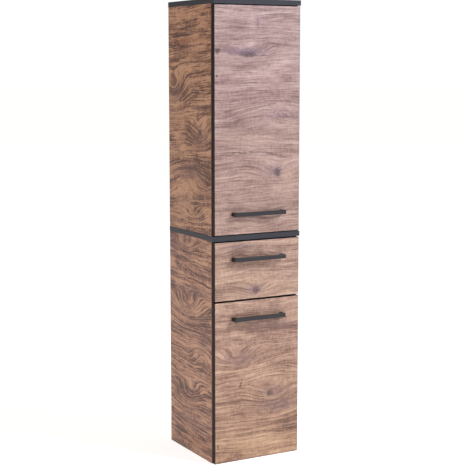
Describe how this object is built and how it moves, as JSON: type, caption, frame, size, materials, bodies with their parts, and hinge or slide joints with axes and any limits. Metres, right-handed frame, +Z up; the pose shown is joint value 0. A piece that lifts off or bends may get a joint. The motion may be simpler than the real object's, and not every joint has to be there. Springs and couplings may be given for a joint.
{
  "type": "mid-height bathroom cabinet",
  "caption": "Tall narrow bathroom cabinet with doors above and below a drawer, dark plates on top and at half height, and dark bow handles.",
  "frame": {"origin": "middle of the footprint, handles included, at the height of the cabinet's underside", "axes": "+X to the right of someone who faces the doors, +Y from the doors to the wall, +Z up"},
  "size_m": [0.302, 0.322, 1.41],
  "materials": {
    "oak": "satin oak decor with a horizontal grain",
    "black_board": "satin black decor",
    "black_edge": "satin",
    "black_metal": "matte",
    "back_board": "satin",
    "drawer_board": "satin",
    "zinc": "cast",
    "steel": "zinc plated",
    "nickel": "nickel plated",
    "runner_metal": "powder coat",
    "nylon": "matte",
    "beech": "raw",
    "soft_clear": "soft"
  },
  "bodies": {
    "carcase": {"bottom_panel": "oak", "cabinet_runner_left": "runner_metal", "cabinet_runner_right": "runner_metal", "cam_bolts": "steel", "cam_locks": "zinc", "divider_shelf": "oak", "dowels": "beech", "front_bumpers": "soft_clear", "hanger_hooks": "steel", "hanger_housings": "nylon", "hanger_screws": "steel", "hinge_arms": "nickel", "hinge_plate_screws": "steel", "hinge_plates": "nickel", "lower_back_panel": "back_board", "lower_shelf": "oak", "lower_side_left": "oak", "lower_side_right": "oak", "middle_plate": "black_board", "runner_screws": "steel", "shelf_pins": "steel", "top_plate": "black_board", "upper_back_panel": "back_board", "upper_shelf_high": "oak", "upper_shelf_low": "oak", "upper_side_left": "oak", "upper_side_right": "oak", "wall_plates": "steel"},
    "upper_door": {"upper_door": "oak", "upper_door_edging": "black_edge", "upper_door_handle": "black_metal", "upper_door_handle_screws": "steel", "upper_hinge_cups": "nickel", "upper_cup_screws": "steel"},
    "lower_door": {"lower_door": "oak", "lower_door_edging": "black_edge", "lower_door_handle": "black_metal", "lower_door_handle_screws": "steel", "lower_hinge_cups": "nickel", "lower_cup_screws": "steel"},
    "drawer": {"drawer_front": "oak", "drawer_front_edging": "black_edge", "drawer_handle": "black_metal", "drawer_handle_screws": "steel", "drawer_side_left": "drawer_board", "drawer_side_right": "drawer_board", "drawer_back": "drawer_board", "drawer_bottom": "back_board", "drawer_dowels": "beech", "drawer_runner_left": "runner_metal", "drawer_runner_right": "runner_metal"},
    "upper_outer_links": {"upper_outer_links": "nickel"},
    "upper_inner_links": {"upper_inner_links": "nickel"},
    "lower_outer_links": {"lower_outer_links": "nickel"},
    "lower_inner_links": {"lower_inner_links": "nickel"},
    "front_roller_left": {"front_roller_left": "nylon"},
    "front_roller_right": {"front_roller_right": "nylon"},
    "rear_roller_left": {"rear_roller_left": "nylon"},
    "rear_roller_right": {"rear_roller_right": "nylon"}
  },
  "joints": [
    {"name": "upper_outer_link_turn", "type": "hinge", "parent": "carcase", "child": "upper_outer_links", "pos_m": [0.1198, -0.1018, 1.05], "axis": [0, 0, 1], "range_deg": [-23, 1]},
    {"name": "upper_door_swing", "type": "hinge", "parent": "upper_outer_links", "child": "upper_door", "pos_m": [0.1409, -0.1267, 1.05], "axis": [0, 0, 1], "range_deg": [0, 116.85]},
    {"name": "upper_inner_link_turn", "type": "hinge", "parent": "carcase", "child": "upper_inner_links", "pos_m": [0.1045, -0.1196, 1.05], "axis": [0, 0, 1], "range_deg": [-25, 1]},
    {"name": "lower_outer_link_turn", "type": "hinge", "parent": "carcase", "child": "lower_outer_links", "pos_m": [0.1198, -0.1018, 0.252], "axis": [0, 0, 1], "range_deg": [-23, 1]},
    {"name": "lower_door_swing", "type": "hinge", "parent": "lower_outer_links", "child": "lower_door", "pos_m": [0.1409, -0.1267, 0.252], "axis": [0, 0, 1], "range_deg": [0, 116.85]},
    {"name": "lower_inner_link_turn", "type": "hinge", "parent": "carcase", "child": "lower_inner_links", "pos_m": [0.1045, -0.1196, 0.252], "axis": [0, 0, 1], "range_deg": [-25, 1]},
    {"name": "drawer_slide", "type": "slide", "parent": "carcase", "child": "drawer", "axis": [0, -1, 0], "range_m": [0, 0.185]},
    {"name": "front_roller_left_turn", "type": "hinge", "parent": "carcase", "child": "front_roller_left", "pos_m": [-0.1283, -0.111, 0.5392], "axis": [1, 0, 0], "range_deg": [0, 1260]},
    {"name": "rear_roller_left_turn", "type": "hinge", "parent": "drawer", "child": "rear_roller_left", "pos_m": [-0.1283, 0.11, 0.5373], "axis": [1, 0, 0], "range_deg": [0, 1330]},
    {"name": "front_roller_right_turn", "type": "hinge", "parent": "carcase", "child": "front_roller_right", "pos_m": [0.1283, -0.111, 0.5392], "axis": [1, 0, 0], "range_deg": [0, 1260]},
    {"name": "rear_roller_right_turn", "type": "hinge", "parent": "drawer", "child": "rear_roller_right", "pos_m": [0.1283, 0.11, 0.5373], "axis": [1, 0, 0], "range_deg": [0, 1330]}
  ],
  "couplings": [
    {"joint": "upper_outer_link_turn", "follows": "upper_door_swing", "ratio": -0.18699},
    {"joint": "upper_inner_link_turn", "follows": "upper_door_swing", "ratio": -0.20325},
    {"joint": "lower_outer_link_turn", "follows": "lower_door_swing", "ratio": -0.18699},
    {"joint": "lower_inner_link_turn", "follows": "lower_door_swing", "ratio": -0.20325},
    {"joint": "front_roller_left_turn", "follows": "drawer_slide", "rad_per_m": 117.65},
    {"joint": "rear_roller_left_turn", "follows": "drawer_slide", "rad_per_m": 125},
    {"joint": "front_roller_right_turn", "follows": "drawer_slide", "rad_per_m": 117.65},
    {"joint": "rear_roller_right_turn", "follows": "drawer_slide", "rad_per_m": 125}
  ]
}
